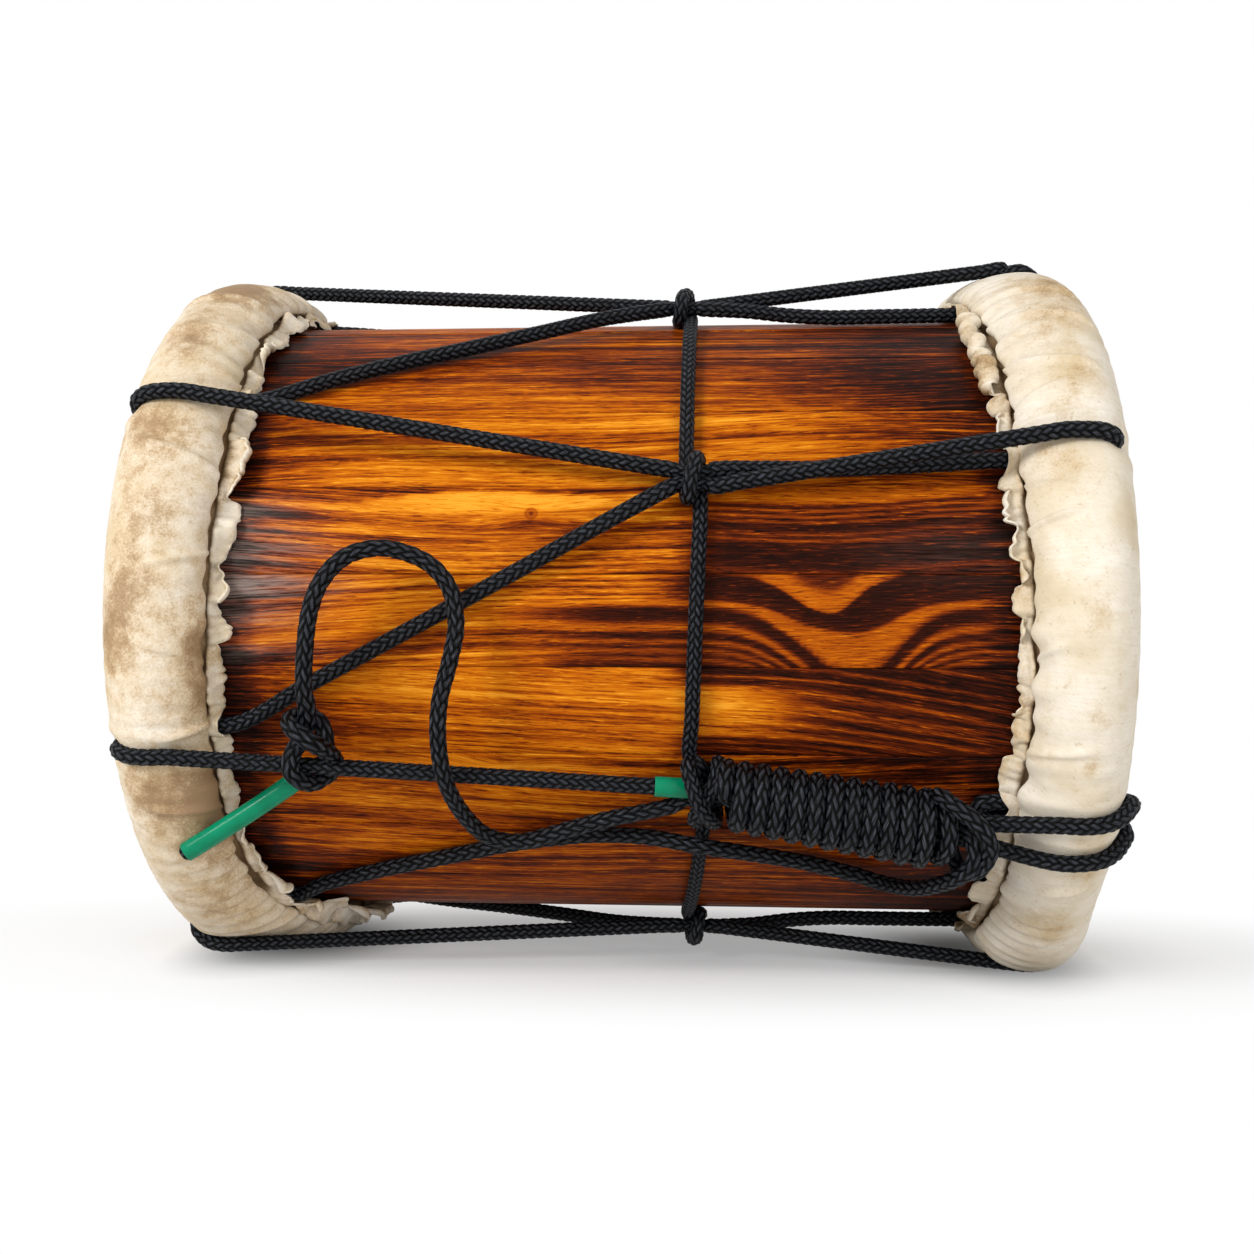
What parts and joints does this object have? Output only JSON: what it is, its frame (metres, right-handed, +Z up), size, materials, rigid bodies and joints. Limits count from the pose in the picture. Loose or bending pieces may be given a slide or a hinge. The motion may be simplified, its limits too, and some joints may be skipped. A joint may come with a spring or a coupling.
{
  "type": "dammam drum",
  "caption": "Straight coopered drum lying on its side, with a hide lapped over a hoop at each end, drawn tight by a black lace with a hitched belt cord, a wound hank and a knotted loop.",
  "frame": {"origin": "on the floor under the middle of the drum, with the drum lying on its two rims", "axes": "+X along the drum's axis, towards the end with the hank; -Y to the front, where the hank and the loop are; +Z up"},
  "size_m": [0.5153, 0.4121, 0.4108],
  "materials": {
    "stave": "dark stain under varnish",
    "hoop": "bare cane",
    "hide": "raw hide",
    "lace": "braided cord",
    "sleeve": "shiny tube"
  },
  "bodies": {
    "drum": {"stave_01": "stave", "stave_02": "stave", "stave_03": "stave", "stave_04": "stave", "stave_05": "stave", "stave_06": "stave", "stave_07": "stave", "stave_08": "stave", "stave_09": "stave", "stave_10": "stave", "stave_11": "stave", "stave_12": "stave", "stave_13": "stave", "stave_14": "stave", "stave_15": "stave", "stave_16": "stave", "stave_17": "stave", "stave_18": "stave", "stave_19": "stave", "stave_20": "stave", "stave_21": "stave", "stave_22": "stave", "stave_23": "stave", "stave_24": "stave", "hoop_left": "hoop", "hoop_right": "hoop", "head_left": "hide", "head_right": "hide", "lace_left_1": "lace", "lace_left_2": "lace", "lace_left_3": "lace", "lace_left_4": "lace", "lace_left_5": "lace", "lace_left_6": "lace", "lace_left_7": "lace", "lace_left_8": "lace", "lace_right_1": "lace", "lace_right_2": "lace", "lace_right_3": "lace", "lace_right_4": "lace", "lace_right_5": "lace", "lace_right_6": "lace", "lace_right_7": "lace", "lace_right_8": "lace", "belt_1": "lace", "belt_2": "lace", "belt_3": "lace", "belt_4": "lace", "belt_5": "lace", "belt_6": "lace", "belt_7": "lace", "belt_8": "lace", "hank": "lace", "hank_lead": "lace", "loop_cord": "lace", "loop_knot": "lace", "short_sleeve": "sleeve"},
    "sleeved_end": {"end_sleeve": "sleeve", "lace_end": "lace"}
  },
  "joints": [
    {"name": "sleeve_swing", "type": "hinge", "parent": "drum", "child": "sleeved_end", "pos_m": [-0.1459, -0.16396, 0.12229], "axis": [0, -0.9015, -0.4328], "range_deg": [0, 45]}
  ]
}
